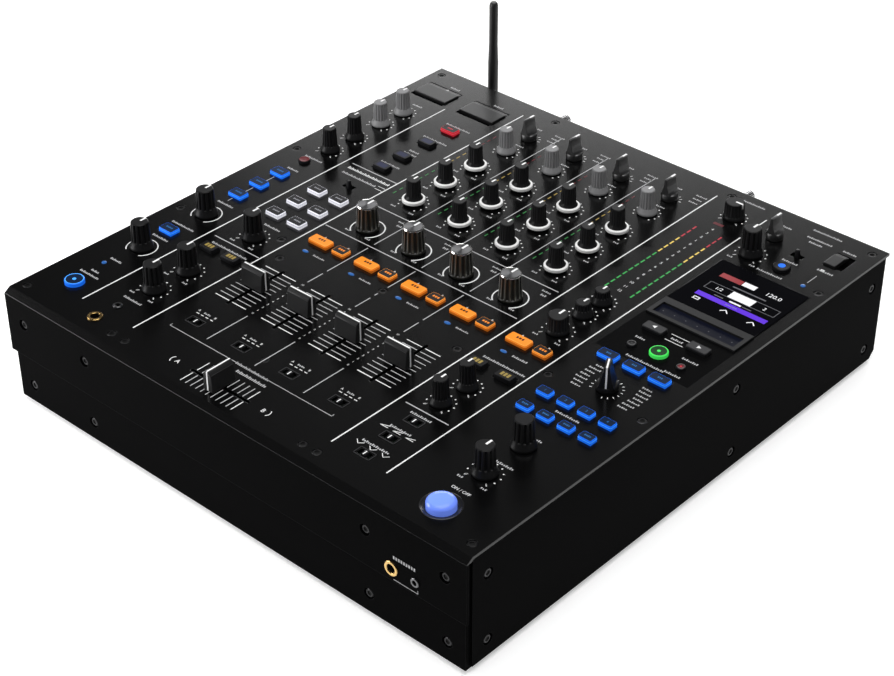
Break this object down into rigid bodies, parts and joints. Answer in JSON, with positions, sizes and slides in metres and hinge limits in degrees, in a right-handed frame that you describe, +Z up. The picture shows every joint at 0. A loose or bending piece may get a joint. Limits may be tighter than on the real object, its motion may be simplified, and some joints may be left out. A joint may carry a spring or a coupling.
{
  "type": "dj mixer",
  "caption": "Four-channel DJ mixer: flat black sheet-metal case with knobs, faders, lit buttons, display, sockets and antenna.",
  "frame": {"origin": "centre of the footprint on the surface that the feet stand on", "axes": "+Z up, +Y to the rear with the sockets, +X to the user's right"},
  "size_m": [0.407, 0.4596, 0.1454],
  "materials": {
    "panel_paint": "fine satin black",
    "case_paint": "fine textured satin black",
    "black_knob": "matt black with white pointer",
    "grey_knob": "matt grey with white pointer",
    "metal_knob": "metal-coated",
    "fader_cap": "satin black with white line",
    "lit_button": "translucent, lit from below",
    "on_button": "translucent, lit from below",
    "flap_plastic": "satin black",
    "antenna_plastic": "satin black",
    "display_glass": "gloss black",
    "foot_rubber": "matt",
    "black_screw": "black oxide",
    "board": "solder mask green",
    "supply_steel": "zinc plated",
    "socket_metal": "plated",
    "socket_plastic": "black with gilt ring"
  },
  "bodies": {
    "case": {"top_panel": "panel_paint", "front_panel": "case_paint", "side_panels": "case_paint", "base_tray": "case_paint", "rear_panel": "case_paint", "rubber_feet": "foot_rubber", "case_screws": "black_screw", "control_board": "board", "main_board": "board", "power_supply": "supply_steel", "rear_sockets": "socket_metal", "panel_sockets": "socket_plastic", "display_unit": "display_glass", "set_up_knobs": "black_knob"},
    "source_selector_1": {"source_selector_1": "black_knob"},
    "source_selector_2": {"source_selector_2": "black_knob"},
    "source_selector_3": {"source_selector_3": "black_knob"},
    "source_selector_4": {"source_selector_4": "black_knob"},
    "trim_knob_1": {"trim_knob_1": "grey_knob"},
    "trim_knob_2": {"trim_knob_2": "grey_knob"},
    "trim_knob_3": {"trim_knob_3": "grey_knob"},
    "trim_knob_4": {"trim_knob_4": "grey_knob"},
    "high_knob_1": {"high_knob_1": "black_knob"},
    "high_knob_2": {"high_knob_2": "black_knob"},
    "high_knob_3": {"high_knob_3": "black_knob"},
    "high_knob_4": {"high_knob_4": "black_knob"},
    "mid_knob_1": {"mid_knob_1": "black_knob"},
    "mid_knob_2": {"mid_knob_2": "black_knob"},
    "mid_knob_3": {"mid_knob_3": "black_knob"},
    "mid_knob_4": {"mid_knob_4": "black_knob"},
    "low_knob_1": {"low_knob_1": "black_knob"},
    "low_knob_2": {"low_knob_2": "black_knob"},
    "low_knob_3": {"low_knob_3": "black_knob"},
    "low_knob_4": {"low_knob_4": "black_knob"},
    "colour_knob_1": {"colour_knob_1": "metal_knob"},
    "colour_knob_2": {"colour_knob_2": "metal_knob"},
    "colour_knob_3": {"colour_knob_3": "metal_knob"},
    "colour_knob_4": {"colour_knob_4": "metal_knob"},
    "master_level_knob": {"master_level_knob": "black_knob"},
    "booth_level_knob": {"booth_level_knob": "black_knob"},
    "phones_b_mix_knob": {"phones_b_mix_knob": "black_knob"},
    "phones_b_level_knob": {"phones_b_level_knob": "black_knob"},
    "phones_a_mix_knob": {"phones_a_mix_knob": "black_knob"},
    "phones_a_level_knob": {"phones_a_level_knob": "black_knob"},
    "colour_parameter_knob": {"colour_parameter_knob": "black_knob"},
    "mic_effect_knob": {"mic_effect_knob": "black_knob"},
    "mic_reverb_knob": {"mic_reverb_knob": "black_knob"},
    "effect_selector": {"effect_selector": "black_knob"},
    "effect_time_knob": {"effect_time_knob": "black_knob"},
    "effect_depth_knob": {"effect_depth_knob": "black_knob"},
    "channel_fader_1": {"channel_fader_1": "fader_cap"},
    "channel_fader_2": {"channel_fader_2": "fader_cap"},
    "channel_fader_3": {"channel_fader_3": "fader_cap"},
    "channel_fader_4": {"channel_fader_4": "fader_cap"},
    "crossfader": {"crossfader": "fader_cap"},
    "push_buttons": {"push_buttons": "lit_button"},
    "effect_on_button": {"effect_on_button": "on_button"},
    "slide_switches": {"slide_switches": "fader_cap"},
    "usb_flaps": {"usb_flaps": "flap_plastic"},
    "antenna": {"antenna": "antenna_plastic"}
  },
  "joints": [
    {"name": "crossfader_slide", "type": "slide", "parent": "case", "child": "crossfader", "axis": [1, 0, 0], "range_m": [-0.0225, 0.0225]},
    {"name": "channel_fader_1_slide", "type": "slide", "parent": "case", "child": "channel_fader_1", "axis": [0, 1, 0], "range_m": [-0.0225, 0.0225]},
    {"name": "channel_fader_2_slide", "type": "slide", "parent": "case", "child": "channel_fader_2", "axis": [0, 1, 0], "range_m": [-0.0225, 0.0225]},
    {"name": "channel_fader_3_slide", "type": "slide", "parent": "case", "child": "channel_fader_3", "axis": [0, 1, 0], "range_m": [-0.0225, 0.0225]},
    {"name": "channel_fader_4_slide", "type": "slide", "parent": "case", "child": "channel_fader_4", "axis": [0, 1, 0], "range_m": [-0.0225, 0.0225]},
    {"name": "antenna_swing", "type": "hinge", "parent": "case", "child": "antenna", "pos_m": [-0.173, 0.2225, 0.0586], "axis": [0, 1, 0], "range_deg": [-90, 90]},
    {"name": "usb_flaps_swing", "type": "hinge", "parent": "case", "child": "usb_flaps", "pos_m": [0, 0.1725, 0.0877], "axis": [-1, 0, 0], "range_deg": [0, 100]},
    {"name": "effect_on_button_press", "type": "slide", "parent": "case", "child": "effect_on_button", "axis": [0, 0, -1], "range_m": [0, 0.001], "stiffness_N_per_m": 600, "springref_m": -0.001},
    {"name": "push_buttons_press", "type": "slide", "parent": "case", "child": "push_buttons", "axis": [0, 0, -1], "range_m": [0, 0.0008], "stiffness_N_per_m": 2000, "springref_m": -0.0008},
    {"name": "slide_switches_shift", "type": "slide", "parent": "case", "child": "slide_switches", "axis": [1, 0, 0], "range_m": [-0.0025, 0.0025]},
    {"name": "effect_selector_turn", "type": "hinge", "parent": "case", "child": "effect_selector", "pos_m": [0.1595, -0.0517, 0.0886], "axis": [0, 0, 1], "range_deg": [0, 300]},
    {"name": "master_level_knob_turn", "type": "hinge", "parent": "case", "child": "master_level_knob", "pos_m": [0.0985, 0.1645, 0.0886], "axis": [0, 0, 1], "range_deg": [-60, 240]},
    {"name": "effect_depth_knob_turn", "type": "hinge", "parent": "case", "child": "effect_depth_knob", "pos_m": [0.1595, -0.1641, 0.0886], "axis": [0, 0, 1], "range_deg": [-150, 150]},
    {"name": "effect_time_knob_turn", "type": "hinge", "parent": "case", "child": "effect_time_knob", "pos_m": [0.1595, -0.1298, 0.0886], "axis": [0, 0, 1], "continuous": true},
    {"name": "booth_level_knob_turn", "type": "hinge", "parent": "case", "child": "booth_level_knob", "pos_m": [0.0975, -0.024, 0.0886], "axis": [0, 0, 1], "range_deg": [-150, 150]},
    {"name": "source_selector_1_turn", "type": "hinge", "parent": "case", "child": "source_selector_1", "pos_m": [-0.079, 0.155, 0.0886], "axis": [0, 0, 1], "range_deg": [-75, 75]},
    {"name": "low_knob_1_turn", "type": "hinge", "parent": "case", "child": "low_knob_1", "pos_m": [-0.079, 0.031, 0.0886], "axis": [0, 0, 1], "range_deg": [-150, 150]},
    {"name": "colour_knob_1_turn", "type": "hinge", "parent": "case", "child": "colour_knob_1", "pos_m": [-0.079, -0.015, 0.0886], "axis": [0, 0, 1], "range_deg": [-150, 150]},
    {"name": "trim_knob_1_turn", "type": "hinge", "parent": "case", "child": "trim_knob_1", "pos_m": [-0.079, 0.1295, 0.0886], "axis": [0, 0, 1], "range_deg": [-150, 150]},
    {"name": "source_selector_2_turn", "type": "hinge", "parent": "case", "child": "source_selector_2", "pos_m": [-0.036, 0.155, 0.0886], "axis": [0, 0, 1], "range_deg": [-75, 75]},
    {"name": "low_knob_2_turn", "type": "hinge", "parent": "case", "child": "low_knob_2", "pos_m": [-0.036, 0.031, 0.0886], "axis": [0, 0, 1], "range_deg": [-150, 150]},
    {"name": "colour_knob_2_turn", "type": "hinge", "parent": "case", "child": "colour_knob_2", "pos_m": [-0.036, -0.015, 0.0886], "axis": [0, 0, 1], "range_deg": [-150, 150]},
    {"name": "trim_knob_2_turn", "type": "hinge", "parent": "case", "child": "trim_knob_2", "pos_m": [-0.036, 0.1295, 0.0886], "axis": [0, 0, 1], "range_deg": [-150, 150]},
    {"name": "source_selector_3_turn", "type": "hinge", "parent": "case", "child": "source_selector_3", "pos_m": [0.007, 0.155, 0.0886], "axis": [0, 0, 1], "range_deg": [-75, 75]},
    {"name": "low_knob_3_turn", "type": "hinge", "parent": "case", "child": "low_knob_3", "pos_m": [0.007, 0.031, 0.0886], "axis": [0, 0, 1], "range_deg": [-150, 150]},
    {"name": "colour_knob_3_turn", "type": "hinge", "parent": "case", "child": "colour_knob_3", "pos_m": [0.007, -0.015, 0.0886], "axis": [0, 0, 1], "range_deg": [-150, 150]},
    {"name": "trim_knob_3_turn", "type": "hinge", "parent": "case", "child": "trim_knob_3", "pos_m": [0.007, 0.1295, 0.0886], "axis": [0, 0, 1], "range_deg": [-150, 150]},
    {"name": "source_selector_4_turn", "type": "hinge", "parent": "case", "child": "source_selector_4", "pos_m": [0.05, 0.155, 0.0886], "axis": [0, 0, 1], "range_deg": [-75, 75]},
    {"name": "low_knob_4_turn", "type": "hinge", "parent": "case", "child": "low_knob_4", "pos_m": [0.05, 0.031, 0.0886], "axis": [0, 0, 1], "range_deg": [-150, 150]},
    {"name": "colour_knob_4_turn", "type": "hinge", "parent": "case", "child": "colour_knob_4", "pos_m": [0.05, -0.015, 0.0886], "axis": [0, 0, 1], "range_deg": [-150, 150]},
    {"name": "trim_knob_4_turn", "type": "hinge", "parent": "case", "child": "trim_knob_4", "pos_m": [0.05, 0.1295, 0.0886], "axis": [0, 0, 1], "range_deg": [-150, 150]},
    {"name": "high_knob_1_turn", "type": "hinge", "parent": "case", "child": "high_knob_1", "pos_m": [-0.079, 0.096, 0.0886], "axis": [0, 0, 1], "range_deg": [-150, 150]},
    {"name": "high_knob_2_turn", "type": "hinge", "parent": "case", "child": "high_knob_2", "pos_m": [-0.036, 0.096, 0.0886], "axis": [0, 0, 1], "range_deg": [-150, 150]},
    {"name": "high_knob_3_turn", "type": "hinge", "parent": "case", "child": "high_knob_3", "pos_m": [0.007, 0.096, 0.0886], "axis": [0, 0, 1], "range_deg": [-150, 150]},
    {"name": "high_knob_4_turn", "type": "hinge", "parent": "case", "child": "high_knob_4", "pos_m": [0.05, 0.096, 0.0886], "axis": [0, 0, 1], "range_deg": [-150, 150]},
    {"name": "mid_knob_1_turn", "type": "hinge", "parent": "case", "child": "mid_knob_1", "pos_m": [-0.079, 0.064, 0.0886], "axis": [0, 0, 1], "range_deg": [-150, 150]},
    {"name": "mid_knob_2_turn", "type": "hinge", "parent": "case", "child": "mid_knob_2", "pos_m": [-0.036, 0.064, 0.0886], "axis": [0, 0, 1], "range_deg": [-150, 150]},
    {"name": "mid_knob_3_turn", "type": "hinge", "parent": "case", "child": "mid_knob_3", "pos_m": [0.007, 0.064, 0.0886], "axis": [0, 0, 1], "range_deg": [-150, 150]},
    {"name": "mid_knob_4_turn", "type": "hinge", "parent": "case", "child": "mid_knob_4", "pos_m": [0.05, 0.064, 0.0886], "axis": [0, 0, 1], "range_deg": [-150, 150]},
    {"name": "phones_b_mix_knob_turn", "type": "hinge", "parent": "case", "child": "phones_b_mix_knob", "pos_m": [0.0955, -0.1077, 0.0886], "axis": [0, 0, 1], "range_deg": [-150, 150]},
    {"name": "phones_b_level_knob_turn", "type": "hinge", "parent": "case", "child": "phones_b_level_knob", "pos_m": [0.0945, -0.1306, 0.0886], "axis": [0, 0, 1], "range_deg": [-150, 150]},
    {"name": "phones_a_mix_knob_turn", "type": "hinge", "parent": "case", "child": "phones_a_mix_knob", "pos_m": [-0.1295, -0.1337, 0.0886], "axis": [0, 0, 1], "range_deg": [-150, 150]},
    {"name": "phones_a_level_knob_turn", "type": "hinge", "parent": "case", "child": "phones_a_level_knob", "pos_m": [-0.1295, -0.1632, 0.0886], "axis": [0, 0, 1], "range_deg": [-150, 150]},
    {"name": "colour_parameter_knob_turn", "type": "hinge", "parent": "case", "child": "colour_parameter_knob", "pos_m": [-0.1285, -0.0752, 0.0886], "axis": [0, 0, 1], "range_deg": [-150, 150]},
    {"name": "mic_effect_knob_turn", "type": "hinge", "parent": "case", "child": "mic_effect_knob", "pos_m": [-0.1755, -0.0758, 0.0886], "axis": [0, 0, 1], "range_deg": [-150, 150]},
    {"name": "mic_reverb_knob_turn", "type": "hinge", "parent": "case", "child": "mic_reverb_knob", "pos_m": [-0.1755, -0.1344, 0.0886], "axis": [0, 0, 1], "range_deg": [-150, 150]}
  ]
}
